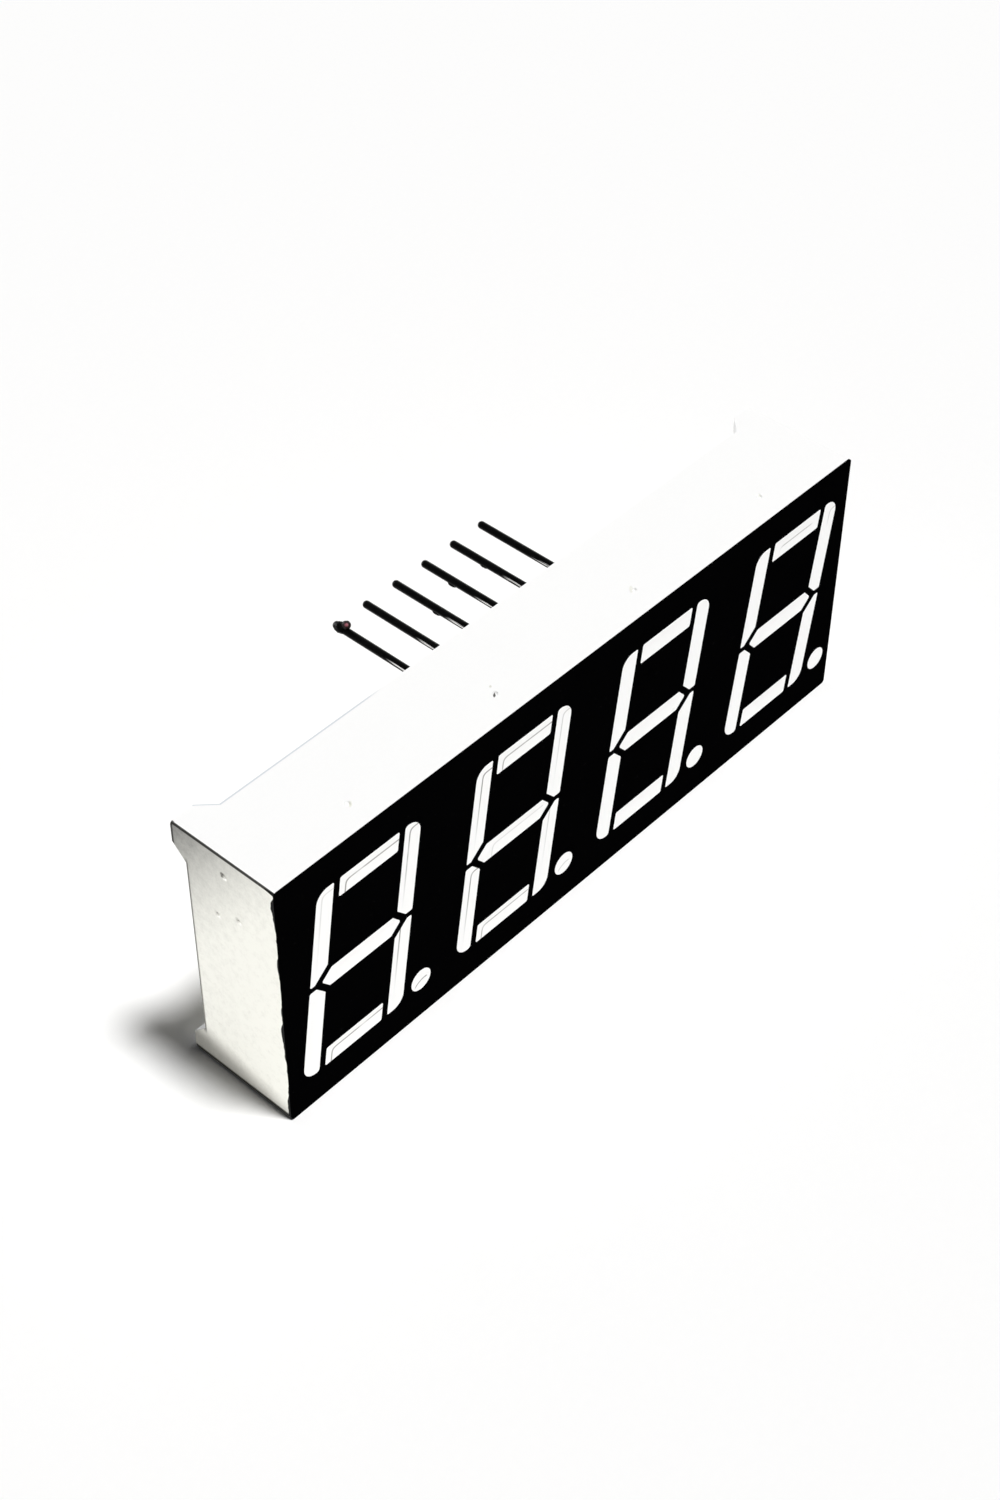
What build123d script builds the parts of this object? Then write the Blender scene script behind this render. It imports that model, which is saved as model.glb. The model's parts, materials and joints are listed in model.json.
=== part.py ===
from build123d import *
from math import atan2, cos, degrees, pi, radians, sin, tan
import os

# A four-digit seven-segment display, standing on its long lower side.
# X runs along the row of digits, -Y points out of the face and +Y along the pins.
# The origin is the middle of the lower side. Lengths are in millimetres.

# Digits, as windows in the face
digit_count = 4
digit_width = 8.15
digit_height = 14.2
digit_gap = 4.55
slant_angle = 8
upright_width = 1.29
bar_height = 1.39
segment_gap = 0.48
waist_gap = 0.4
middle_bar_reach = 0.14
point_diameter = 1.62
point_gap = 0.69
point_drop = 0.11

# Corners of the segments, as shares of the upright's width or the bar's height
outer_corner_share = 0.72
end_corner_share = 0.18
small_corner_share = 0.09
tip_share = 0.29
shoulder_share = 0.41
long_cut_share = 0.71
short_cut_share = 0.575
bar_tip_share = 0.5
bar_corner_share = 0.09
bar_nose_share = 0.12

# Housing: face margins, walls and the layers from the face to the feet
point_edge = 0.615
edge_margin = 2.4
wall_thickness = 1.0
corner_radius = 0.25
tray_radius = 0.5
face_film = 0.1
reflector_depth = 5.1
board_thickness = 1.0
potting_thickness = 0.6
rim_lip = 0.2
foot_rise = 1.0
foot_length = 1.7
foot_height = 1.5

# Small moulding marks: dimples along the upper wall and pips on the left end wall
dimple_diameter = 0.36
dimple_depth = 0.12
dimple_length_shares = (-0.353, -0.117, 0.125, 0.363)
dimple_depth_share = 0.24
pip_height = 0.06
pip_diameters = (0.42, 0.34, 0.34)
pip_place_shares = ((0.494, 0.924), (0.596, 0.736), (0.381, 0.772))
mark_slope = 35

# Chips, their wires and the narrow end of each well
chip_side = 0.3
chip_height = 0.2
chip_room = 0.3
throat_length = 2.0
wire_diameter = 0.05
wire_arch_share = 0.48
chip_shift_share = 0.7

# Board, pins, solder and potting
board_clearance = 0.1
pin_edge = 0.78
pin_pitch = 2.54
pins_per_row = 6
pin_diameter = 0.5
pin_root_diameter = 0.6
pin_reach = 6.4
solder_room = 0.1
solder_land = 0.15
solder_height = 0.4
meniscus_rise_share = 0.75
meniscus_width_share = 0.5

# How far a cut runs past the surface that it opens
overrun = 1.0

# Sizes that follow from the ones above
half_width = digit_width / 2
half_height = digit_height / 2
lean = tan(radians(slant_angle))
point_radius = point_diameter / 2
point_rise = point_radius - point_drop - half_height
point_lean = -lean * point_rise
side_margin = point_gap + point_diameter + point_edge - point_lean
digit_pitch = digit_width + digit_gap
body_width = (digit_count - 1) * digit_pitch + digit_width + 2 * side_margin
body_height = digit_height + 2 * edge_margin
middle = body_height / 2
layers = (face_film, reflector_depth, board_thickness, potting_thickness, rim_lip, foot_rise)
body_depth = sum(layers)
y_face = -body_depth / 2
y_block = y_face + face_film
y_board = y_block + reflector_depth
y_board_back = y_board + board_thickness
y_potting = y_board_back + potting_thickness
y_rim = y_potting + rim_lip
y_feet = y_rim + foot_rise
tray_width = body_width - 2 * wall_thickness
tray_height = body_height - 2 * wall_thickness
board_width = tray_width - 2 * board_clearance
board_height = tray_height - 2 * board_clearance
board_radius = tray_radius - board_clearance
row_spacing = board_height - 2 * pin_edge
throat_width = chip_side + 2 * chip_room
wire_arch = wire_arch_share * throat_width / 2
pin_radius = pin_diameter / 2
pin_root_radius = pin_root_diameter / 2
hole_radius = pin_root_radius + solder_room

# Planes across the display: X to the right, Z up, and the normal out of the face
face_plane = Plane.XZ.offset(-y_face)
block_plane = Plane.XZ.offset(-y_block)
board_plane = Plane.XZ.offset(-y_board)
back_plane = Plane.XZ.offset(-y_board_back)
left_end = Plane(origin=(-body_width / 2, 0, 0), x_dir=(0, -1, 0), z_dir=(-1, 0, 0))

os.makedirs("parts", exist_ok=True)


def save(part, name):
    """Label one finished piece and write it to its own file."""
    part.label = name
    export_step(part, f"parts/{name}.step")


def turned(corners):
    """The same outline after half a turn about the middle of the digit."""
    return [(-across, -up) for across, up in corners]


def narrowed(corners, radii, width, height):
    """An outline and its corner radii, squeezed about its own middle to a width and height."""
    acrosses = [across for across, up in corners]
    ups = [up for across, up in corners]
    mid_across = (max(acrosses) + min(acrosses)) / 2
    mid_up = (max(ups) + min(ups)) / 2
    width_share = width / (max(acrosses) - min(acrosses))
    height_share = height / (max(ups) - min(ups))
    points = [
        (mid_across + width_share * (across - mid_across), mid_up + height_share * (up - mid_up))
        for across, up in corners
    ]
    return points, [radius * min(width_share, height_share) for radius in radii]


def slanted(corners, digit_x):
    """Points of an upright digit, leaned over and moved to that digit's place on the face."""
    return [(digit_x + across + lean * up, middle + up) for across, up in corners]


# Outlines of the segments of an upright digit, about its middle
left = -half_width
inner = left + upright_width
waist = waist_gap / 2
bar_end = half_width - upright_width - segment_gap
middle_bar_end = bar_end + middle_bar_reach
bar_tip = middle_bar_end + bar_tip_share * bar_height
bar_foot = half_height - bar_height
outer_radius = outer_corner_share * upright_width
end_radius = end_corner_share * upright_width
small_radius = small_corner_share * upright_width
bar_radius = bar_corner_share * bar_height
nose_radius = bar_nose_share * bar_height

upper_left = [
    (left, waist),
    (left + tip_share * upright_width, waist),
    (inner, waist + long_cut_share * upright_width),
    (inner, half_height),
    (left, half_height),
]
upper_left_radii = [small_radius] * 4 + [outer_radius]
lower_left = [
    (left, -half_height),
    (inner, -half_height),
    (inner, -waist - short_cut_share * upright_width),
    (left + shoulder_share * upright_width, -waist),
    (left, -waist),
]
lower_left_radii = [outer_radius, end_radius] + [small_radius] * 3
top_bar = [(-bar_end, bar_foot), (bar_end, bar_foot), (bar_end, half_height), (-bar_end, half_height)]
top_bar_radii = [bar_radius] * 4
middle_bar = [
    (-middle_bar_end, -bar_height / 2),
    (middle_bar_end, -bar_height / 2),
    (bar_tip, 0),
    (middle_bar_end, bar_height / 2),
    (-middle_bar_end, bar_height / 2),
    (-bar_tip, 0),
]
middle_bar_radii = [bar_radius, bar_radius, nose_radius] * 2
upright_throat = (throat_width, throat_length)
bar_throat = (throat_length, throat_width)
segments = {
    "a": (top_bar, top_bar_radii, bar_throat),
    "b": (turned(lower_left), lower_left_radii, upright_throat),
    "c": (turned(upper_left), upper_left_radii, upright_throat),
    "d": (turned(top_bar), top_bar_radii, bar_throat),
    "e": (lower_left, lower_left_radii, upright_throat),
    "f": (upper_left, upper_left_radii, upright_throat),
    "g": (middle_bar, middle_bar_radii, bar_throat),
}
point_middle = (half_width + point_gap + point_radius, point_rise)


def segment_well(digit_x, corners, radii, throat):
    """The tapering space behind one window, from the face down to the board."""
    end_corners, end_radii = narrowed(corners, radii, *throat)
    with BuildPart() as well:
        with BuildSketch(face_plane):
            with BuildLine():
                FilletPolyline(*slanted(corners, digit_x), radius=radii, close=True)
            make_face()
        with BuildSketch(board_plane):
            with BuildLine():
                FilletPolyline(*slanted(end_corners, digit_x), radius=end_radii, close=True)
            make_face()
        loft(ruled=True)
    return well.part


def point_well(digit_x):
    """The round tapering space behind one decimal point."""
    [place] = slanted([point_middle], digit_x)
    with BuildPart() as well:
        with BuildSketch(face_plane):
            with Locations(place):
                Circle(point_radius)
        with BuildSketch(board_plane):
            with Locations(place):
                Circle(throat_width / 2)
        loft(ruled=True)
    return well.part


def chip_place(digit_x, corners, throat):
    """Middle of one chip on the board, and the direction in which its wire leaves."""
    acrosses = [across for across, up in corners]
    ups = [up for across, up in corners]
    mid = ((max(acrosses) + min(acrosses)) / 2, (max(ups) + min(ups)) / 2)
    [(x, z)] = slanted([mid], digit_x)
    turn = 0 if throat[0] >= throat[1] else pi / 2 - atan2(lean, 1)
    shift = chip_shift_share * wire_arch
    return (x - shift * cos(turn), z - shift * sin(turn)), turn


def digit_chips(places):
    """The chips of one digit, each flat on the board."""
    with BuildPart() as chips:
        for place, turn in places:
            with BuildSketch(board_plane):
                with Locations(Location((*place, 0), degrees(turn))):
                    Rectangle(chip_side, chip_side)
            extrude(amount=chip_height)
    return chips.part


def digit_wires(places):
    """The wires of one digit: each arches off its chip and stands on the board beside it."""
    with BuildPart() as wires:
        for (x, z), turn in places:
            chip_top = (x, y_board - chip_height, z)
            along = (cos(turn), 0, sin(turn))
            side = (sin(turn), 0, -cos(turn))
            with BuildLine(Plane(origin=chip_top, x_dir=along, z_dir=side)):
                ThreePointArc((0, 0), (wire_arch, wire_arch), (2 * wire_arch, 0))
                Line((2 * wire_arch, 0), (2 * wire_arch, -chip_height))
            with BuildSketch(Plane(origin=chip_top, x_dir=along, z_dir=(0, -1, 0))):
                Circle(wire_diameter / 2)
            sweep()
    return wires.part


def pin_at(x, z):
    """One pin: a root that tapers through the board, a round shank and a round tip."""
    shank_end = y_feet + pin_reach - pin_radius
    with BuildPart() as pin:
        with BuildSketch(Plane.XY.offset(z)):
            with BuildLine():
                Polyline(
                    (x, shank_end + pin_radius),
                    (x, y_board),
                    (x + pin_root_radius, y_board),
                    (x + pin_radius, y_feet),
                    (x + pin_radius, shank_end),
                )
                RadiusArc((x + pin_radius, shank_end), (x, shank_end + pin_radius), -pin_radius)
            make_face()
        revolve(axis=Axis((x, 0, z), (0, 1, 0)))
    return pin.part


# Wells, light pipes, chips and wires, digit by digit
wells = []
for digit in range(digit_count):
    digit_x = (digit - (digit_count - 1) / 2) * digit_pitch
    digit_name = f"digit_{digit + 1}"
    places = [chip_place(digit_x, corners, throat) for corners, radii, throat in segments.values()]
    places.append(chip_place(digit_x, [point_middle], bar_throat))
    chips = digit_chips(places)
    wires = digit_wires(places)
    digit_wells = {f"segment_{key}": segment_well(digit_x, *shape) for key, shape in segments.items()}
    digit_wells["decimal_point"] = point_well(digit_x)
    for well_name, well in digit_wells.items():
        with BuildPart() as light_pipe:
            add(well)
            add(chips, mode=Mode.SUBTRACT)
            add(wires, mode=Mode.SUBTRACT)
        save(light_pipe.part, f"{digit_name}_{well_name}")
    save(chips, f"{digit_name}_chips")
    save(wires, f"{digit_name}_bond_wires")
    wells += digit_wells.values()

# Face mask: the black film, with a window over each well
with BuildPart() as face_mask:
    with BuildSketch(face_plane):
        with Locations((0, middle)):
            RectangleRounded(body_width, body_height, corner_radius)
    extrude(amount=-face_film)
    add(wells, mode=Mode.SUBTRACT)
save(face_mask.part, "face_mask")

# Reflector housing: front block with its wells, tray behind it, corner feet and moulding marks
notch_half_width = body_width / 2 - foot_length - foot_rise
notch_low = foot_height + foot_rise
notch_high = body_height - notch_low
notch_flare = foot_rise + overrun
with BuildPart() as housing:
    with BuildSketch(block_plane):
        with Locations((0, middle)):
            RectangleRounded(body_width, body_height, corner_radius)
    extrude(amount=-(y_feet - y_block))
    with BuildSketch(board_plane):
        with Locations((0, middle)):
            RectangleRounded(tray_width, tray_height, tray_radius)
    extrude(amount=-(y_feet + overrun - y_board), mode=Mode.SUBTRACT)
    with BuildSketch(Plane.XY.offset(-overrun)):
        Polygon(
            (-notch_half_width, y_rim),
            (notch_half_width, y_rim),
            (notch_half_width + notch_flare, y_rim + notch_flare),
            (-notch_half_width - notch_flare, y_rim + notch_flare),
            align=None,
        )
    extrude(amount=body_height + 2 * overrun, mode=Mode.SUBTRACT)
    with BuildSketch(Plane.YZ.offset(-body_width / 2 - overrun)):
        Polygon(
            (y_rim, notch_low),
            (y_rim + notch_flare, notch_low - notch_flare),
            (y_rim + notch_flare, notch_high + notch_flare),
            (y_rim, notch_high),
            align=None,
        )
    extrude(amount=body_width + 2 * overrun, mode=Mode.SUBTRACT)
    add(wells, mode=Mode.SUBTRACT)
    with BuildSketch(Plane.XY.offset(body_height)):
        for share in dimple_length_shares:
            with Locations((share * body_width, y_face + dimple_depth_share * body_depth)):
                Circle(dimple_diameter / 2)
    extrude(amount=-dimple_depth, taper=mark_slope, mode=Mode.SUBTRACT)
    for diameter, (depth_share, height_share) in zip(pip_diameters, pip_place_shares):
        with BuildSketch(left_end):
            with Locations((-y_face - depth_share * body_depth, height_share * body_height)):
                Circle(diameter / 2)
        extrude(amount=pip_height, taper=mark_slope)
save(housing.part, "reflector_housing")

# Circuit board, with a hole for each pin
pin_row = [(column - (pins_per_row - 1) / 2) * pin_pitch for column in range(pins_per_row)]
low_row = middle - row_spacing / 2
high_row = middle + row_spacing / 2
pin_places = [(x, low_row) for x in pin_row] + [(x, high_row) for x in reversed(pin_row)]
with BuildPart() as board:
    with BuildSketch(board_plane):
        with Locations((0, middle)):
            RectangleRounded(board_width, board_height, board_radius)
        with Locations(pin_places):
            Circle(hole_radius, mode=Mode.SUBTRACT)
    extrude(amount=-board_thickness)
save(board.part, "circuit_board")

# Pins, counted along the lower row and back along the upper row
pins = [pin_at(x, z) for x, z in pin_places]
for number, pin in enumerate(pins, start=1):
    save(pin, f"pin_{number}")

# Solder: a sleeve through each hole and a fillet on the back of the board
with BuildPart() as solder:
    with BuildSketch(board_plane):
        with Locations(pin_places):
            Circle(hole_radius)
    extrude(amount=-board_thickness)
    for x, z in pin_places:
        with BuildSketch(back_plane):
            with Locations((x, z)):
                Circle(hole_radius + solder_land)
        with BuildSketch(back_plane.offset(-solder_height)):
            with Locations((x, z)):
                Circle(pin_root_radius)
        loft(ruled=True)
    add(pins, mode=Mode.SUBTRACT)
save(solder.part, "solder_joints")

# Potting: fills the tray around and behind the board, and climbs its walls a little
meniscus_rise = meniscus_rise_share * rim_lip
meniscus_width = meniscus_width_share * tray_radius
y_meniscus = y_potting + meniscus_rise
with BuildPart() as potting:
    with BuildSketch(board_plane):
        with Locations((0, middle)):
            RectangleRounded(tray_width, tray_height, tray_radius)
    extrude(amount=-(y_meniscus - y_board))
    with BuildSketch(Plane.XZ.offset(-y_meniscus)):
        with Locations((0, middle)):
            RectangleRounded(tray_width, tray_height, tray_radius)
    extrude(
        amount=meniscus_rise,
        taper=degrees(atan2(meniscus_width, meniscus_rise)),
        mode=Mode.SUBTRACT,
    )
    add(board.part, mode=Mode.SUBTRACT)
    add(solder.part, mode=Mode.SUBTRACT)
    add(pins, mode=Mode.SUBTRACT)
save(potting.part, "potting")
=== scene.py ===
# %% [markdown]
# # A four-digit seven-segment display
# A white moulded housing carries a black printed face. Each digit has seven bars and a point of milky
# resin, and twelve dark pins stand out of the back. The CAD model already has every one of these pieces,
# so this lesson is about finishes, a few small drops of resin and tin, and the light they are seen in.

# %% Load the packed model
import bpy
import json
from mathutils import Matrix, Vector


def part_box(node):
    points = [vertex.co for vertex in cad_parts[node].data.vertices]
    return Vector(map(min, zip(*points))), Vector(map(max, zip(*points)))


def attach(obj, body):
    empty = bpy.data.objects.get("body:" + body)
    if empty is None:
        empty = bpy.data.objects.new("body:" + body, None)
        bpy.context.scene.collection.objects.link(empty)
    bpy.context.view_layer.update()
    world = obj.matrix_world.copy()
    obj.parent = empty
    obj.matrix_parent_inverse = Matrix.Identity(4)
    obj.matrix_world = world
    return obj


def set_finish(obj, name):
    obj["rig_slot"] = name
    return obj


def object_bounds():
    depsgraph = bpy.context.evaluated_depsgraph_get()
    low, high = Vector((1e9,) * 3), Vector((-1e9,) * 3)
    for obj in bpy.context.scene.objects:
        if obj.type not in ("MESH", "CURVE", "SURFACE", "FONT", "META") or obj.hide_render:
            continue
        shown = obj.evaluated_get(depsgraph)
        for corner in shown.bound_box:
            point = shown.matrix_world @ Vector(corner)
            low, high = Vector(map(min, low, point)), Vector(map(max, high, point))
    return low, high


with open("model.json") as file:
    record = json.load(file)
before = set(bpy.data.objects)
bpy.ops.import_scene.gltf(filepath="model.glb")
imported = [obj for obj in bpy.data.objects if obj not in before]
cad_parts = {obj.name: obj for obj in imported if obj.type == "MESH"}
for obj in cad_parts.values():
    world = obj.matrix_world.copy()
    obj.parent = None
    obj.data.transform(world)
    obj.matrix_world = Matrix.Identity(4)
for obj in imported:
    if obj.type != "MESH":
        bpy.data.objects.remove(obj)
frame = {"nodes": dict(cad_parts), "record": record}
cad_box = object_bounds()
cad_sides = [round(side, 5) for side in cad_box[1] - cad_box[0]]
print("CAD nodes:", len(frame["nodes"]), "in a box of", cad_sides, "m")

# %% [markdown]
# ## Places on the display
# Every finish below is laid out from places that can be measured on the object: the face, the end wall,
# the rows of pins. They could all be typed in, but reading them from the boxes of the CAD nodes keeps them
# right when the model changes. Only what no box shows, such as the lean of the digits, is a number here.
# Lengths are in millimetres, because that is how a part this small is thought about.

# %% Measure the nodes
import json
import math

import bpy
from mathutils import Matrix, Vector

MM = 0.001


def span(node):
    """Lowest and highest corners of a CAD node, in millimetres."""
    low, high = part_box(node)
    return low / MM, high / MM


face_low, face_high = span("face_mask")
end_wall = face_low.x
top_wall = face_high.z
ink_edge = face_high.y
middle = top_wall / 2
foot_rise = 1.0
feet = span("reflector_housing")[1].y
rim = feet - foot_rise
print("end wall x", round(end_wall, 3), "top wall z", round(top_wall, 3), "feet y", round(feet, 3))

# %% Measure the digits and pins
digit_count = 4
slant_angle = 8
lean = math.tan(math.radians(slant_angle))
first_bar = span("digit_1_segment_e")[0].x
last_bar = span("digit_4_segment_e")[0].x
digit_pitch = (last_bar - first_bar) / (digit_count - 1)

pin_count = 12
pin_middles = {}
for number in range(1, pin_count + 1):
    pin_low, pin_high = span(f"pin_{number}")
    pin_middles[number] = (pin_low + pin_high) / 2
pin_tips = span("pin_1")[1].y
pin_pitch = pin_middles[2].x - pin_middles[1].x
row_gap = pin_middles[pin_count].z - pin_middles[1].z
print("digit pitch", round(digit_pitch, 3), "pin pitch", round(pin_pitch, 3), "row gap", round(row_gap, 3))

# %% [markdown]
# ## Arithmetic on a surface
# A finish is a sum of small effects: a stain here, grain there, a line along an edge. Joining Math nodes
# by hand is slow to read, so a small class stands for one socket and lets plain sums add the nodes.
# Any other node comes from its one method, which takes the node's settings and then its sockets.

# %% A socket that can be added up
class Field:
    """A value that changes over a surface. Sums with it add Math nodes to its material."""

    def __init__(self, tree, socket=None):
        self.tree = tree
        self.socket = socket

    def node(self, kind, settings, sockets, output=0):
        """Add one node, with its settings first and then its sockets, and return one output."""
        made = self.tree.nodes.new(kind)
        for name, value in settings.items():
            setattr(made, name, value)
        for name, value in sockets.items():
            if isinstance(value, Field):
                self.tree.links.new(value.socket, made.inputs[name])
            else:
                made.inputs[name].default_value = value
        return Field(self.tree, made.outputs[output])

    def sum(self, operation, *terms):
        """Add a Math node with an operation on up to three terms."""
        return self.node("ShaderNodeMath", {"operation": operation}, dict(enumerate(terms)))

    def __add__(self, other):
        return self.sum("ADD", self, other)

    def __radd__(self, other):
        return self.sum("ADD", other, self)

    def __sub__(self, other):
        return self.sum("SUBTRACT", self, other)

    def __rsub__(self, other):
        return self.sum("SUBTRACT", other, self)

    def __mul__(self, other):
        return self.sum("MULTIPLY", self, other)

    def __rmul__(self, other):
        return self.sum("MULTIPLY", other, self)

    def __abs__(self):
        return self.sum("ABSOLUTE", self)

    def most(self, other):
        """The larger of two values."""
        return self.sum("MAXIMUM", self, other)

    def swing(self, strength):
        """A cloudy value brought to either side of 0, with a strength."""
        return (self - 0.5) * strength

    def step(self, start, end):
        """0 at start and 1 at end, with a smooth change between them."""
        limits = {"Value": self, "From Min": start, "From Max": end}
        return self.node("ShaderNodeMapRange", {"interpolation_type": "SMOOTHSTEP"}, limits)

    def blend(self, first, second):
        """The first colour where this value is 0, and the second where it is 1."""
        return self.node("ShaderNodeMix", {"data_type": "RGBA"}, {0: self, 6: first, 7: second}, 2)

    def noise(self, size, detail):
        """Cloudy values around a half, with patches of about a size in millimetres."""
        return self.node("ShaderNodeTexNoise", {}, {"Vector": self, "Scale": 1 / size, "Detail": detail})

    def stretched(self, *shares):
        """The same place, squeezed along each axis, so that a pattern on it is drawn out."""
        return self.node("ShaderNodeMapping", {}, {"Vector": self, "Scale": shares})

    def far(self, *point):
        """The distance from a point, in millimetres."""
        ends = {0: self, 1: point}
        return self.node("ShaderNodeVectorMath", {"operation": "DISTANCE"}, ends, "Value")

    def axis(self, name):
        """The place along one axis, in millimetres."""
        return self.node("ShaderNodeSeparateXYZ", {}, {"Vector": self}, name)


print("a field can", ", ".join(name for name in vars(Field) if not name.startswith("_")))

# %% Start and end a finish
def grey(level):
    return (level, level, level, 1)


def start_finish(name):
    """A new material, and the place on its surface in millimetres."""
    material = bpy.data.materials.new(name)
    material.use_nodes = True
    board = Field(material.node_tree)
    metres = board.node("ShaderNodeTexCoord", {}, {}, "Object")
    scaling = {"Vector": metres, "Scale": 1 / MM}
    return material, board.node("ShaderNodeVectorMath", {"operation": "SCALE"}, scaling)


def end_finish(material, height=None, depth=0.0, **sockets):
    """Set the shader's sockets, and its bump from a height field with a depth in millimetres."""
    shader = Field(material.node_tree)
    surface = material.node_tree.nodes["Principled BSDF"]
    if height is not None:
        relief = {"Height": height, "Distance": depth * MM}
        sockets["Normal"] = shader.node("ShaderNodeBump", {}, relief, "Normal")
    for name, value in sockets.items():
        socket = surface.inputs[name.replace("_", " ")]
        if isinstance(value, Field):
            material.node_tree.links.new(value.socket, socket)
        else:
            socket.default_value = value
    print("finish", material.name, "with", len(material.node_tree.nodes), "nodes")


print("one metre is", round(1 / MM), "units of a finish")

# %% [markdown]
# ## White moulded plastic
# The housing is one satin white moulding. Its marks could be painted on an image, but that would fix how
# sharp they can be, so each effect is a mask worked out from the place on the surface. The plastic's own
# clouds and grain come first. The end wall is a warmer white with more mottle. Shade is painted onto it:
# it darkens towards its upper rear corner and a little towards its back, and a painted shadow darkens its
# foot.

# %% The plastic's white
top_white = (0.958, 0.958, 0.957, 1)
wall_white = (0.956, 0.960, 0.918, 1)
wall_shade_grey = (0.20, 0.20, 0.196, 1)
foot_shade_brown = (0.13, 0.125, 0.115, 1)
shade_start, shade_end = 11.2, 33.8
shade_slope, shade_strength = 1.07, 1.8
rear_shade_start, rear_shade_end, rear_shade_strength = -3.5, 2.5, 0.03
foot_shade_top, foot_shade_bottom = 1.8, -0.4
foot_shade_slope, foot_shade_strength, foot_shade_gain = 0.22, 0.66, 0.03

plastic, place = start_finish("satin_white_plastic")
x, y, z = [place.axis(name) for name in "XYZ"]
off_end = x - end_wall
off_top = top_wall - z
off_feet = feet - y
behind_ink = y - ink_edge
in_end_wall = off_end.step(0.12, 0.06)

clouds = place.noise(size=2.6, detail=3.0)
grain = place.noise(size=0.16, detail=4.0)
streaks = place.stretched(1.0, 3.0, 0.6).noise(size=0.5, detail=3.0)
mottle = place.noise(size=0.5, detail=4.0)
tone = clouds.swing(0.033) + grain.swing(0.027) + streaks.swing(0.027)
tone = tone + in_end_wall * (mottle.swing(0.27) + grain.swing(0.17))
# Painted shade: the end wall darkens towards its upper rear corner
painted_upper_shade = in_end_wall * (z + y * shade_slope).step(shade_start, shade_end)
# Painted shade: the end wall is a little darker towards its back
painted_rear_shade = in_end_wall * y.step(rear_shade_start, rear_shade_end) * rear_shade_strength
white = in_end_wall.blend(top_white, wall_white)
shade = (tone + painted_upper_shade * shade_strength + painted_rear_shade).blend(white, wall_shade_grey)
# Painted shadow: the end wall darkens along its foot, where it meets the floor
low_down = (z - behind_ink * foot_shade_slope).step(foot_shade_top, foot_shade_bottom)
painted_foot_shade = in_end_wall * low_down * (foot_shade_strength + y * foot_shade_gain)
shade = (painted_foot_shade + tone * 0.2).blend(shade, foot_shade_brown)
print("the end wall is", wall_white[:3], "and the rest is", top_white[:3])

# %% [markdown]
# ## Dark edge lines, a painted shadow, ink and small marks
# Dark lines run along the end wall's edges, and the one along its foot is a painted contact shadow. Some
# of the face's ink has crept round its front edge. Such lines could be thin strips of mesh, but they have
# no thickness of their own, so they are masks too: a line is where the distances from two faces that meet
# are both small. The top has a few faint smudges at its moulding dimples and a painted shade along its
# left rear edge. The wall's pips get a painted shade above and a painted highlight below.

# %% Lines along the edges
edge_line_black = (0.015, 0.014, 0.013, 1)
edge_line_strength, rim_strength = 0.96, 0.8
foot_end, foot_fade = 2.0, 0.6


def edge_line(off_one, off_other, outer, inner):
    """A line along the edge of two faces: 1 within the inner distance of it, and 0 past the outer one."""
    return off_one.most(off_other).step(outer, inner)


wander = place.noise(size=0.9, detail=2.0)
upper_line = edge_line(off_end, off_top, outer=0.15, inner=0.12)
# Painted contact shadow along the foot of the end wall
contact_shadow = edge_line(off_end, z, outer=0.45, inner=0.33)
upper_half = z.step(middle, middle + 1.0)
foot_line = edge_line(off_end, off_feet, outer=0.2, inner=0.12) * upper_half
between_feet = z.step(foot_end, foot_end + foot_fade) * off_top.step(foot_end, foot_end + foot_fade)
rim_line = edge_line(off_end, abs(y - rim), outer=0.16, inner=0.08) * between_feet * rim_strength
# The dark edge lines and the painted contact shadow together
edge_lines_and_shadow = upper_line.most(contact_shadow).most(foot_line).most(rim_line) * wander.step(0.05, 0.35)
shade = (edge_lines_and_shadow * edge_line_strength).blend(shade, edge_line_black)
print("grime runs along the top, the foot, the upper rear foot and the rim at y", round(rim, 3))

# %% Ink over the front edge
crept_black = (0.004, 0.004, 0.0045, 1)
mean_creep, edge_creep, blot_creep = 0.42, 0.7, 0.24

creep = place.stretched(0.45, 0.0, 0.45).noise(size=1.0, detail=3.0)
along_edge = edge_line(off_end, off_top, outer=0.2, inner=0.1) * edge_creep
corner_blot = off_top.step(1.9, 1.2) * off_top.step(0.2, 0.9) * blot_creep
ink_reach = in_end_wall * (creep - mean_creep + corner_blot + along_edge)
inked = (behind_ink - ink_reach).step(0.02, -0.02)
shade = inked.blend(shade, crept_black)
print("ink creeps back from y", round(ink_edge, 3))

# %% Smudges on the top
# Place along the top, distance behind the ink, half length, half width, solid share and tone
smudges = (
    (-17.68, 1.68, 0.32, 0.12, 0.0, (0.82, 0.82, 0.74, 1)),
    (-6.00, 1.77, 0.26, 0.085, 0.6, (0.11, 0.107, 0.105, 1)),
    (-5.65, 2.40, 0.14, 0.10, 0.0, (0.72, 0.715, 0.66, 1)),
    (6.20, 1.96, 0.40, 0.15, 0.0, (0.82, 0.82, 0.77, 1)),
    (18.30, 1.84, 0.26, 0.13, 0.0, (0.91, 0.91, 0.87, 1)),
)
smeared_x, smeared_y = 0.744, 0.668
on_top = off_top.step(0.3, 0.2)
for smudge_x, smudge_behind, half_length, smudge_half_width, solid, smudge_tone in smudges:
    from_x = x - smudge_x
    from_y = behind_ink - smudge_behind
    along = (from_x * smeared_x + from_y * smeared_y) * (1 / half_length)
    athwart = (from_x * smeared_y - from_y * smeared_x) * (1 / smudge_half_width)
    smudged = (along * along + athwart * athwart + grain.swing(0.8)).step(1.0, solid) * on_top
    shade = smudged.blend(shade, smudge_tone)
print("smudges", len(smudges))

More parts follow.
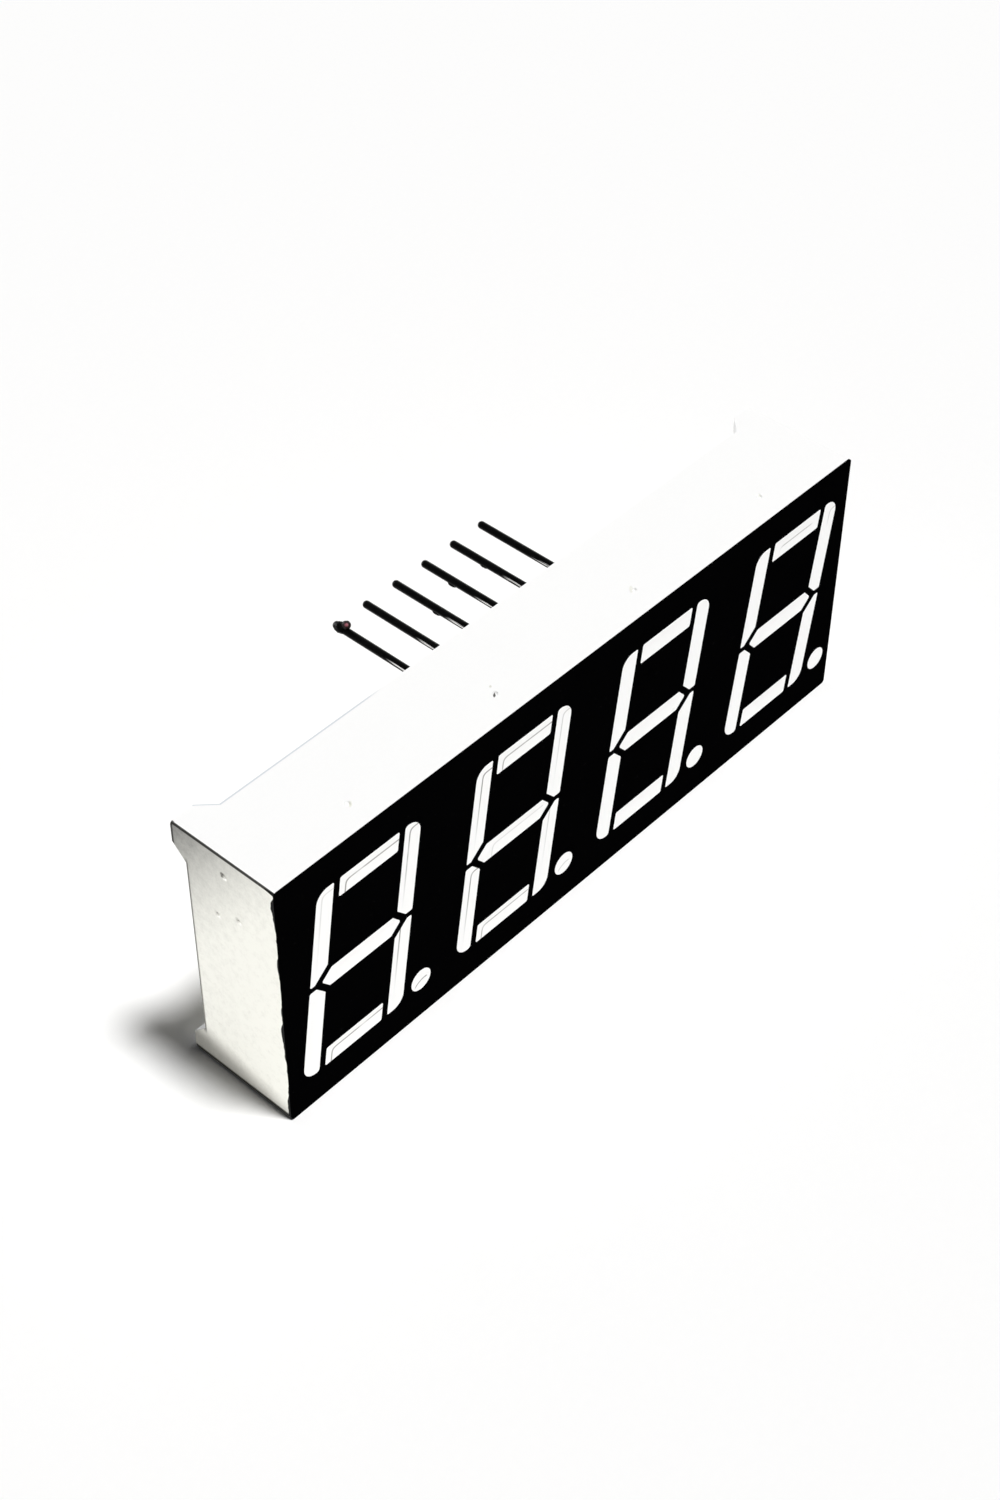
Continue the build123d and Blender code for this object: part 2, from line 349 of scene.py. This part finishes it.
# %% The painted rear edge shade, and the pips' painted shade and highlight
edge_shade_blue = (0.66, 0.69, 0.73, 1)
edge_shade_end, edge_shade_full = -9.6, -11.5
foot_reach = 2.7
rear_edge = rim + (foot_reach - off_end).most(0.0)
# Painted shade: a thin bluish line along the top's left rear edge
rear_edge_shade = (rear_edge - y).step(0.14, 0.07) * off_top.step(0.1, 0.05)
shade = (rear_edge_shade * x.step(edge_shade_end, edge_shade_full)).blend(shade, edge_shade_blue)

# Place back and up on the end wall, and how dark the pip's painted shade is
pips = ((-0.05, 17.56, 0.85), (0.77, 13.98, 0.12), (-0.95, 14.67, 0.25))
pip_shade = (0.12, 0.115, 0.10, 1)
pip_highlight = (0.985, 0.985, 0.96, 1)
shade_shift = 0.1
highlight_shift = 0.11
# Each pip gets a painted shade on its upper side and a painted highlight on its lower side
for pip_y, pip_z, shade_depth in pips:
    shaded_side = place.far(end_wall, pip_y + shade_shift, pip_z + shade_shift) + grain.swing(0.1)
    shade = (shaded_side.step(0.22, 0.1) * shade_depth).blend(shade, pip_shade)
    lit_side = place.far(end_wall, pip_y - highlight_shift, pip_z - highlight_shift)
    shade = lit_side.step(0.18, 0.08).blend(shade, pip_highlight)
print("pips", len(pips))

# %% Finish the plastic
skin = grain * 0.5 + place.noise(size=0.05, detail=2.0) * 0.5
end_finish(
    plastic,
    height=skin + clouds * 1.5,
    depth=0.012,
    Base_Color=shade,
    Roughness=0.42 + clouds.swing(0.3) + inked * 0.35,
    Specular_IOR_Level=0.12,
)

# %% [markdown]
# ## Black face ink
# The face is printed with a dead matt black, so it throws almost no light back. A little grain keeps it
# from being one flat tone. The gloss is taken away with a specular level of 0 rather than by roughness
# alone, because even a rough surface shines when it is seen along its length.

# %% The face's ink
ink_dark = (0.0003, 0.0003, 0.0004, 1)
ink_pale = (0.0014, 0.0014, 0.0016, 1)
dust_grey = grey(0.006)
ink, place = start_finish("matt_black_ink")
grain = place.noise(size=0.12, detail=3.0)
patches = place.noise(size=3.5, detail=2.0)
dust = place.noise(size=0.3, detail=2.0).step(0.70, 0.78)
black = (grain * 0.6 + patches * 0.4).blend(ink_dark, ink_pale)
end_finish(
    ink,
    height=grain,
    depth=0.01,
    Base_Color=(dust * 0.5).blend(black, dust_grey),
    Roughness=0.78 + patches.swing(0.3),
    Specular_IOR_Level=0.0,
)

# %% [markdown]
# ## Milky light pipes
# Each bar is clear resin made milky and cast into its well. It shrinks as it sets, so its skin dips a
# little inside the rim. The shade at the lip of that dip is painted as a thin grey line along the upper
# and left sides of some bars. Every bar could have its own line, but the digits repeat, so the line is
# drawn once in the places of an upright digit: the lean is taken out, and the width wraps round at
# each digit.

# %% Places in an upright digit
half_width = 4.075
half_height = 7.1
upright_width = 1.29
bar_end = 2.36
bar_step = 6.35
cell_end = 7.2
gap_reach = 0.19
point_gap = 0.3
between_bars = 3.0
hair = 0.01

resin, place = start_finish("milky_light_resin")
x = place.axis("X")
up = place.axis("Z") - middle
straight = x - up * lean + (digit_count - 1) / 2 * digit_pitch
across = straight.sum("WRAP", straight, cell_end, cell_end - digit_pitch)
side_edge = half_width - upright_width - gap_reach
point_edge = half_width + point_gap
in_left = across.step(-side_edge, -side_edge - hair)
in_right = across.step(side_edge, side_edge + hair)
in_point = across.step(point_edge, point_edge + hair)
in_upright = in_left.most(in_right)
in_bar = 1 - in_upright
in_middle = in_bar * abs(up).step(1.0, 0.9)
upper = up.step(-hair, hair)
print("a digit's cell runs from", round(cell_end - digit_pitch, 3), "to", cell_end)

# %% Distance inside a bar's upper and left sides
lowest_bar_top = -5.6
waist = -0.2
right_waist_rise = 0.8
round_in = 0.5

above_low_bar = up.step(-between_bars - hair, -between_bars)
above_middle_bar = up.step(between_bars, between_bars + hair)
bar_top = above_middle_bar * bar_step + above_low_bar * bar_step + lowest_bar_top
upright_top = upper * (half_height - waist) + waist + in_right * (1 - upper) * right_waist_rise
from_top = bar_top + in_upright * (upright_top - bar_top) - up
right_start = half_width - upright_width + bar_end
from_left = across + bar_end + in_left * (half_width - bar_end) - in_right * right_start
inset = from_left.sum("SMOOTH_MIN", from_left, from_top, round_in)
print("bars start at", -bar_end, "and uprights at", -half_width)

# %% Which digits show the lip, and where
first_end, second_end, third_end = -12.1, 0.2, 12.8
zone_edge = 0.1


def left_of(place_x):
    return x.step(place_x + zone_edge, place_x - zone_edge)


def right_of(place_x):
    return x.step(place_x - zone_edge, place_x + zone_edge)


# How clearly the lines of each digit show, as shares of the clearest
in_first = left_of(first_end)
in_second = right_of(first_end) * left_of(second_end)
in_last = right_of(third_end)
first_lines = in_right + in_bar - in_middle + in_left * upper * 0.3
second_lines = in_left + in_right * 0.45 + in_bar * 0.9 - in_middle * 0.6
last_top_bar = in_bar * up.step(5.0, 5.1) * abs(across).step(1.8, 1.2)
last_lines = last_top_bar * 0.7 + in_right * up.step(5.0, 6.0) * 0.4
clarity = in_first * first_lines + in_second * second_lines + in_last * last_lines
print("lips show left of x", second_end, "and right of x", third_end)

# %% The lip's painted shade line and the resin
lip_shade_grey = (0.30, 0.295, 0.28, 1)
milk_dark = (0.935, 0.935, 0.928, 1)
milk_pale = (0.946, 0.946, 0.940, 1)
usual_inset, more_inset, last_inset = 0.42, 0.12, 0.25
arc_across, arc_up, arc_radius = 5.875, -7.4, 1.0


def fine_line(value):
    """A fine line along which a value is 0."""
    return abs(value).step(0.075, 0.03)


lip_inset = usual_inset + in_first * in_bar * more_inset + in_second * more_inset + in_last * last_inset
sinking = from_top.step(6.6, 1.2) * in_upright + in_bar
# The lip's line is painted shade, drawn only along the upper and left sides of the bars
bar_lip = fine_line(inset - lip_inset) * sinking * (1 - in_point)
point_across = across - arc_across
point_up = up - arc_up
point_reach = point_up.sum("SQRT", point_across * point_across + point_up * point_up)
point_lip = fine_line(point_reach - arc_radius) * abs(point_across + 0.28).step(0.55, 0.4) * in_point
drift = place.stretched(1.0, 0.0, 1.0).noise(size=2.0, detail=2.0).step(0.15, 0.5)
painted_lip_shade = bar_lip.most(point_lip) * clarity * drift
clouds = place.noise(size=1.7, detail=2.0)
milk = clouds.blend(milk_dark, milk_pale)
dip = inset.step(0.1, 0.7) * (1 - in_point)
end_finish(
    resin,
    height=clouds * 0.05 - dip,
    depth=0.03,
    Base_Color=painted_lip_shade.blend(milk, lip_shade_grey),
    Roughness=0.3 + clouds.swing(0.1),
    Coat_Weight=0.15,
    Coat_Roughness=0.2,
)

# %% [markdown]
# ## Dark pins
# The pins are plated wire that has tarnished nearly black, with drawn streaks in it. Near the housing, on
# the side that faces left, flecks of bright plating are painted where glints fall: painted highlights.
# Metal shows what stands round it, so a dark base colour keeps the white floor out of it. All twelve pins
# share one finish, whose places wrap round from pin to pin.

# %% The pins' plating
glint_plating = (0.80, 0.79, 0.78, 1)
tarnish_dark = (0.0005, 0.0005, 0.0006, 1)
tarnish_pale = (0.003, 0.003, 0.0031, 1)
fleck_x, fleck_z = -0.954, 0.3
fleck_start, fleck_full = 0.239, 0.246
fleck_end, fleck_root = 6.0, 5.0

plating, place = start_finish("tarnished_plating")
x, y, z = [place.axis(name) for name in "XYZ"]
drawn = place.stretched(9.0, 0.45, 9.0).noise(size=1.0, detail=2.0)
patches = place.noise(size=0.7, detail=3.0)
aside = x.sum("WRAP", x, pin_pitch, 0.0) - pin_pitch / 2
above = z - pin_middles[1].z - z.step(middle, middle + 0.1) * row_gap
# Painted glints: bright plating on the left-facing side near the housing
glint_side = (above * fleck_z + aside * fleck_x).step(fleck_start, fleck_full)
painted_glints = glint_side * y.step(fleck_end, fleck_root) * drawn.step(0.48, 0.54)
tarnish = patches.blend(tarnish_dark, tarnish_pale)
end_finish(
    plating,
    height=drawn,
    depth=0.012,
    Base_Color=painted_glints.blend(tarnish, glint_plating),
    Roughness=0.42 + patches.swing(0.3) - painted_glints * 0.15,
    Metallic=1.0,
)

# %% [markdown]
# ## Potting
# The back of the tray is closed with cream resin, which has small bubbles and a wavy skin. The bubbles
# could be modelled, but they are finer than a pin, so cells of a Voronoi pattern stand for them in the
# colour and the bump.

# %% The potting's resin
cream_dark = (0.70, 0.68, 0.58, 1)
cream_pale = (0.84, 0.83, 0.74, 1)
bubble_brown = (0.42, 0.40, 0.32, 1)
speck_tan = (0.60, 0.55, 0.42, 1)
bubble_gap = 1.3
cream, place = start_finish("cream_potting")
clouds = place.noise(size=4.0, detail=3.0)
bubbles = place.node("ShaderNodeTexVoronoi", {}, {"Vector": place, "Scale": 1 / bubble_gap}, "Distance")
specks = place.noise(size=0.35, detail=2.0).step(0.66, 0.74)
pinhole = bubbles.step(0.10, 0.05)
body = clouds.blend(cream_dark, cream_pale)
body = (pinhole * 0.6).blend(body, bubble_brown)
end_finish(
    cream,
    height=clouds * 3.0 - pinhole + place.noise(size=0.8, detail=2.0) * 0.6,
    depth=0.04,
    Base_Color=(specks * 0.35).blend(body, speck_tan),
    Roughness=0.22 + clouds.swing(0.2) + pinhole * 0.3,
    Coat_Weight=0.25,
)

# %% [markdown]
# ## Board, solder, chips and wires
# These are sealed in by the potting. They get finishes of their own all the same, so that the model
# still reads well with the resin taken away. The board shows its glass weave, which is two drawn-out
# noises crossed at right angles. The solder is frosted, the chips are sawn and the wires are bright.

# %% The board's laminate
weave_dark = (0.50, 0.50, 0.26, 1)
weave_pale = (0.66, 0.64, 0.40, 1)
laminate, place = start_finish("woven_laminate")
warp = place.stretched(7.0, 1.0, 0.4).noise(size=1.0, detail=2.0)
weft = place.stretched(0.4, 1.0, 7.0).noise(size=1.0, detail=2.0)
weave = warp.most(weft)
end_finish(
    laminate,
    height=weave,
    depth=0.02,
    Base_Color=weave.step(0.4, 0.7).blend(weave_dark, weave_pale),
    Roughness=0.5 + weave.swing(0.3),
)

# %% The solder, chips and wires
tin_dark = (0.50, 0.51, 0.52, 1)
tin_pale = (0.70, 0.70, 0.70, 1)
tin, place = start_finish("frosted_tin")
frost = place.noise(size=0.14, detail=4.0)
end_finish(
    tin,
    height=frost,
    depth=0.01,
    Base_Color=frost.blend(tin_dark, tin_pale),
    Roughness=0.32 + frost.swing(0.4),
    Metallic=1.0,
)

chip_dark = (0.38, 0.30, 0.20, 1)
chip_pale = (0.60, 0.52, 0.38, 1)
sawn, place = start_finish("sawn_chip")
saw_marks = place.stretched(1.0, 12.0, 1.0).noise(size=0.25, detail=2.0)
end_finish(
    sawn,
    height=saw_marks,
    depth=0.004,
    Base_Color=saw_marks.blend(chip_dark, chip_pale),
    Roughness=0.25 + saw_marks * 0.25,
)

gold_dark = (0.78, 0.58, 0.22, 1)
gold_pale = (0.90, 0.72, 0.36, 1)
gold, place = start_finish("drawn_gold")
drawn = place.noise(size=0.08, detail=2.0)
end_finish(
    gold,
    Base_Color=drawn.blend(gold_dark, gold_pale),
    Roughness=0.2 + drawn * 0.2,
    Metallic=1.0,
)

# %% [markdown]
# ## Finishes on the CAD nodes
# The nodes could be picked one by one, but the record already gives each its slot, so one table from
# slots to finishes dresses them all. Only the material of a node is changed, and its mesh is left as the
# CAD model gave it.

# %% Dress the nodes
finishes = {
    "housing_plastic": plastic,
    "face_ink": ink,
    "light_resin": resin,
    "board_laminate": laminate,
    "chip": sawn,
    "bond_wire": gold,
    "pin_metal": plating,
    "solder": tin,
    "potting_resin": cream,
}
for part in frame["record"]["subparts"]:
    node = frame["nodes"][part["node"]]
    node.material_slots[0].material = finishes[part["material_slot"]]

# %% [markdown]
# ## Resin collars
# Liquid resin climbs a pin and sets in a small flared collar. A collar could be a cone, but its side is
# hollow, so a ring is drawn at the foot of the pin and extruded up it in steps, narrowing fast at first
# and then slowly, until it meets the pin. Two more steps go into the pin and back down inside it, and the
# two open ends are bridged under the resin's skin, which closes the mesh.

# %% Helpers for modelling
merge_distance = 0.0001
smooth_angle = 50


def deselect():
    bpy.ops.object.select_all(action="DESELECT")


def settle(name, finish, slot):
    """Finish the active piece: outward faces, soft shading, its place in its mesh, and its body."""
    piece = bpy.context.object
    piece.name = name
    piece.data.name = name
    bpy.ops.object.mode_set(mode="EDIT")
    bpy.ops.mesh.select_all(action="SELECT")
    bpy.ops.mesh.remove_doubles(threshold=merge_distance * MM)
    bpy.ops.mesh.normals_make_consistent(inside=False)
    bpy.ops.object.mode_set(mode="OBJECT")
    bpy.ops.object.transform_apply(location=True, rotation=True, scale=True)
    bpy.ops.object.shade_smooth_by_angle(angle=math.radians(smooth_angle))
    piece.data.materials.append(finish)
    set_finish(piece, slot)
    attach(piece, "root")
    return piece


def copies(piece, first_number, name, offsets):
    """Copies of a finished piece, each with its own mesh, moved by offsets in millimetres."""
    for number, offset in enumerate(offsets, start=first_number):
        deselect()
        piece.select_set(True)
        bpy.context.view_layer.objects.active = piece
        bpy.ops.object.duplicate()
        copy = bpy.context.object
        copy.name = f"{name}_{number}"
        copy.data.name = copy.name
        bpy.ops.transform.translate(value=Vector(offset) * MM)
        bpy.ops.object.transform_apply(location=True, rotation=False, scale=False)
        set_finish(copy, piece["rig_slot"])
        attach(copy, "root")
    print(name, "copied", len(offsets), "times")


meniscus_rise = 0.15
potting_skin = span("potting")[1].y - meniscus_rise
print("pins end at y", round(pin_tips, 3), "and leave the resin at y", round(potting_skin, 3))

# %% One collar, then one on each pin
collar_foot = 0.66
collar_top = 0.38
sink = 0.015
inside_pin = 0.20
# Radius of each ring and its height above the resin's skin, into which the foot is sunk a little
flare = ((0.50, 0.03), (0.40, 0.09), (0.335, 0.20), (0.30, 0.36), (0.25, collar_top))
collar_steps = (*flare, (inside_pin, collar_top), (inside_pin, -sink))
first_pin = pin_middles[1]
deselect()
bpy.ops.mesh.primitive_circle_add(
    vertices=40,
    radius=collar_foot * MM,
    location=Vector((first_pin.x, potting_skin - sink, first_pin.z)) * MM,
    rotation=(math.radians(-90), 0, 0),
)
bpy.ops.object.mode_set(mode="EDIT")
bpy.ops.mesh.select_all(action="SELECT")
radius = collar_foot
height = -sink
for next_radius, next_height in collar_steps:
    rise = Vector((0, next_height - height, 0)) * MM
    bpy.ops.mesh.extrude_edges_move(TRANSFORM_OT_translate={"value": rise})
    pull = next_radius / radius
    ring_middle = Vector((first_pin.x, potting_skin + next_height, first_pin.z)) * MM
    bpy.ops.transform.resize(value=(pull, 1, pull), center_override=ring_middle)
    radius = next_radius
    height = next_height
bpy.ops.mesh.select_mode(type="EDGE")
bpy.ops.mesh.select_all(action="DESELECT")
bpy.ops.mesh.select_non_manifold()
bpy.ops.mesh.bridge_edge_loops()
bpy.ops.object.mode_set(mode="OBJECT")
collar = settle("resin_collar_1", cream, "potting_resin")
shifts = [pin_middles[number] - first_pin for number in range(2, pin_count + 1)]
copies(collar, 2, "resin_collar", [(shift.x, 0, shift.z) for shift in shifts])

# %% [markdown]
# ## Drops of tin and a bead of flux
# A lump and a reddish glassy bead sit at the tip of the leftmost upper pin, and small runs of tin hang
# under three of the other upper pins. Each could be left a sphere, but that would look turned rather than
# run, so it is drawn out along its pin and pushed about a little in edit mode. The three runs are one
# shape, modelled once and copied.

# %% The lump and the runs of tin
def drop(pin, along, aside, above, radius, reach, unevenness, seed):
    """A sphere drawn out along a pin and pushed about, with its place beside the pin in millimetres."""
    place = Vector((pin.x + aside, along, pin.z + above)) * MM
    deselect()
    bpy.ops.mesh.primitive_uv_sphere_add(segments=28, ring_count=18, radius=radius * MM, location=place)
    bpy.ops.object.mode_set(mode="EDIT")
    bpy.ops.mesh.select_all(action="SELECT")
    bpy.ops.transform.resize(value=(1, reach, 1), center_override=place)
    bpy.ops.transform.vertex_random(offset=unevenness * MM, uniform=0.0, normal=0.6, seed=seed)
    bpy.ops.mesh.vertices_smooth(factor=0.5, repeat=2)
    bpy.ops.object.mode_set(mode="OBJECT")


lump_pin = pin_middles[pin_count]
lump_along = pin_tips - 0.6
drop(lump_pin, lump_along, aside=0, above=0.03, radius=0.35, reach=1.62, unevenness=0.09, seed=4)
lump = settle("tin_lump", plating, "pin_metal")
print("lump ends at y", round(max(corner.co.y for corner in lump.data.vertices) / MM, 3))

run_pin = pin_middles[9]
run_along = 7.8
drop(run_pin, run_along, aside=-0.11, above=-0.16, radius=0.16, reach=2.3, unevenness=0.05, seed=7)
tin_run = settle("tin_run_1", plating, "pin_metal")
# Pin, place along it and lift of the other two runs
other_runs = ((pin_middles[10], 6.7, 0.03), (pin_middles[8], 7.5, 0.07))
run_shifts = [(pin.x - run_pin.x, along - run_along, lift) for pin, along, lift in other_runs]
copies(tin_run, 2, "tin_run", run_shifts)

# %% The flux bead's glass, with a painted highlight
flux_dark = (0.008, 0.0015, 0.002, 1)
flux_lit_red = (0.22, 0.045, 0.065, 1)
flux_highlight_pink = (0.55, 0.26, 0.31, 1)
highlight_middle = (lump_pin.x - 0.02, pin_tips - 1.1, lump_pin.z + 0.56)
flux, place = start_finish("red_flux")
swirl = place.noise(size=0.3, detail=2.0)
# Painted highlight: a red patch with pink swirls on the bead's upper side
bead_highlight = place.far(*highlight_middle).step(0.16, 0.05)
body = bead_highlight.blend(flux_dark, flux_lit_red)
end_finish(
    flux,
    height=swirl,
    depth=0.01,
    Base_Color=(swirl.step(0.4, 0.65) * bead_highlight * 0.7).blend(body, flux_highlight_pink),
    Roughness=0.35 + swirl * 0.2,
    Specular_IOR_Level=0.2,
)

# %% The flux bead
bead_along = pin_tips - 0.95
drop(lump_pin, bead_along, aside=0.12, above=0.36, radius=0.27, reach=1.05, unevenness=0.04, seed=11)
bead = settle("flux_bead", flux, "potting_resin")
print("bead top at z", round(max(corner.co.z for corner in bead.data.vertices) / MM, 3))

# %% [markdown]
# ## Floor and background
# The display stands on a plain white floor that runs out of the picture on every side. The floor could be
# given light of its own, but that would fill the shadow, so its white is only its paper's colour under
# the main light. Past the floor's end the world is seen, which is white to the camera and in reflections.
# On surfaces it sheds only a faint light, because light from all round would wash the shadow out.

# %% The floor
floor_side = 4.0
paper_dark = (0.97, 0.97, 0.972, 1)
paper_pale = (0.985, 0.985, 0.987, 1)
deselect()
bpy.ops.mesh.primitive_plane_add(size=floor_side, location=(0, 0, 0))
floor = bpy.context.object
floor.name = "floor"
paper, place = start_finish("floor_paper")
fibre = place.noise(size=0.5, detail=4.0)
end_finish(
    paper,
    Base_Color=fibre.blend(paper_dark, paper_pale),
    Roughness=0.9 + fibre.swing(0.1),
    Specular_IOR_Level=0.0,
)
floor.data.materials.append(paper)

# %% The world
faint_light = (0.024, 0.025, 0.027, 1)
world = bpy.data.worlds.new("studio")
world.use_nodes = True
bpy.context.scene.world = world
backdrop = Field(world.node_tree)
ray_kinds = ("Is Camera Ray", "Is Glossy Ray", "Is Transmission Ray")
rays = [backdrop.node("ShaderNodeLightPath", {}, {}, kind) for kind in ray_kinds]
seen = rays[0].most(rays[1]).most(rays[2])
sky = world.node_tree.nodes["Background"]
world.node_tree.links.new(seen.blend(faint_light, grey(1.0)).socket, sky.inputs["Color"])
sky.inputs["Strength"].default_value = 1.0
print("world", world.name, "lights with", faint_light[:3])

# %% [markdown]
# ## Light
# The shadow falls to the left and back, so the main light is at the front right, about seventy-five
# degrees up, and broad enough to soften the shadow's edge. One lamp would leave the upright sides dark.
# So a level light from the front fills the face, a small warm lamp near the foot of the end wall fades
# towards its upper rear corner, and a level light from behind shows the back. These three leave the floor
# out, and the shadow keeps its depth.

# %% The lamps
def aim(lamp, towards):
    """Turn a lamp so that it shines from where it is along a direction."""
    lamp.rotation_euler = Vector(towards).to_track_quat("-Z", "Y").to_euler()


def sun(name, towards, energy, width):
    """Add a distant light that shines along a direction, with its width in the sky in degrees."""
    deselect()
    bpy.ops.object.light_add(type="SUN", location=-Vector(towards))
    lamp = bpy.context.object
    lamp.name = name
    lamp.data.energy = energy
    lamp.data.angle = math.radians(width)
    aim(lamp, towards)
    return lamp


key = sun("key_light", towards=(-0.107, 0.23, -0.967), energy=3.18, width=9.8)
key.data.color = (1.0, 0.997, 0.99)
front = sun("front_light", towards=(0.3, 0.95, -0.035), energy=0.92, width=10)

deselect()
bpy.ops.object.light_add(type="AREA", location=(-0.083, -0.024, 0.007))
fill = bpy.context.object
fill.name = "end_wall_light"
fill.data.shape = "RECTANGLE"
fill.data.size = 0.03
fill.data.size_y = 0.01
fill.data.energy = 0.0155
fill.data.color = (1.0, 0.97, 0.87)
fill.visible_camera = False
aim(fill, (0.058, 0.022, 0.0))

back = sun("back_light", towards=(0.15, -0.985, -0.02), energy=1.8, width=10)

all_but_floor = bpy.data.collections.new("all_but_floor")
all_but_floor.objects.link(floor)
all_but_floor.collection_objects[0].light_linking.link_state = "EXCLUDE"
for lamp in (front, fill, back):
    lamp.light_linking.receiver_collection = all_but_floor
print("lamps", key.name, front.name, fill.name, back.name)

# %% [markdown]
# ## Camera
# The camera could be placed by eye, but then the picture and the photo would not lie over each other, so
# its place, turn and lens were fitted to the face, the end wall and the upper pins in the photo. The
# picture is 1000 by 1500, and Blender measures the lens against its longer side.

# %% The camera
camera_place = (-85.26, -73.75, 118.38)
pan_angle, tilt_angle, roll_angle = -48.08, 45.84, 0.39
camera_data = bpy.data.cameras.new("photo_view")
camera_data.sensor_width = 36
camera_data.lens = 62.0
camera_data.clip_start = 0.005
camera = bpy.data.objects.new("photo_view", camera_data)
bpy.context.collection.objects.link(camera)
pan = Matrix.Rotation(math.radians(pan_angle), 4, "Z")
tilt = Matrix.Rotation(math.radians(tilt_angle), 4, "X")
roll = Matrix.Rotation(math.radians(roll_angle), 4, "Z")
camera.matrix_world = Matrix.Translation(Vector(camera_place) * MM) @ pan @ tilt @ roll
bpy.context.scene.camera = camera
bpy.context.scene.view_settings.view_transform = "Standard"
print("camera at", [round(value, 4) for value in camera.location])

# %% [markdown]
# ## Sizes
# The added pieces must not make the display any larger. The sides of the CAD model's box are printed when
# it is loaded.
